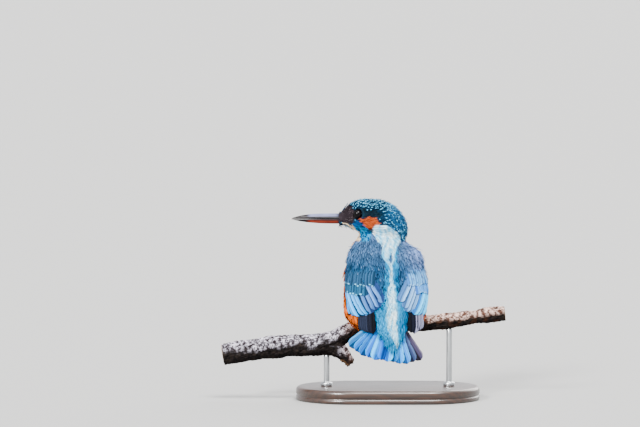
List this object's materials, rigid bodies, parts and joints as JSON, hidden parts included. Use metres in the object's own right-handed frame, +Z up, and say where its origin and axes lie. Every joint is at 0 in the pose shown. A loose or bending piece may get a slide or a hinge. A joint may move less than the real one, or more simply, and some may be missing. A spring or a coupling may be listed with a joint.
{
  "type": "common kingfisher",
  "caption": "Still, life-size common kingfisher seen from behind, bill turned to its left and tail fanned, gripping a cut length of forked branch on a plain oval display stand.",
  "frame": {"origin": "centre of the stand base's underside", "axes": "+Z up; the bird's back faces -Y and its breast +Y; its left side is towards -X, where the bill points"},
  "size_m": [0.2141, 0.084, 0.1508],
  "materials": {
    "crown_feathers": "dark teal feathers barred with pale blue spots",
    "neck_feathers": "silky white feathers",
    "rufous_feathers": "soft rufous orange feathers",
    "wing_feathers": "slate blue feathers with paler edges and spots",
    "primary_feathers": "dusky flight feathers with bluish edges",
    "rump_feathers": "silky turquoise feathers",
    "tail_feathers": "steel blue feathers with pale cyan lights",
    "bill_upper": "satin black horn",
    "bill_lower": "satin orange-red horn with a dark tip",
    "eye": "glossy dark brown",
    "leg_skin": "satin coral red scaled skin",
    "claw": "dark horn",
    "bark": "rough grey bark with pale lichen and dark cracks",
    "stand_base": "dark stained wood, satin",
    "stand_rod": "satin steel"
  },
  "bodies": {
    "root": {"head": "crown_feathers", "bill_upper": "bill_upper", "bill_lower": "bill_lower", "eye_left": "eye", "eye_right": "eye", "neck": "neck_feathers", "trunk": "rufous_feathers", "wing_left": "wing_feathers", "wing_right": "wing_feathers", "wing_left_primaries": "primary_feathers", "wing_right_primaries": "primary_feathers", "rump": "rump_feathers", "tail": "tail_feathers", "leg_left": "leg_skin", "leg_right": "leg_skin", "claw_left_1": "claw", "claw_left_2": "claw", "claw_left_3": "claw", "claw_left_4": "claw", "claw_right_1": "claw", "claw_right_2": "claw", "claw_right_3": "claw", "claw_right_4": "claw", "perch_branch": "bark", "stand_base": "stand_base", "stand_rod_left": "stand_rod", "stand_rod_right": "stand_rod"}
  },
  "joints": []
}
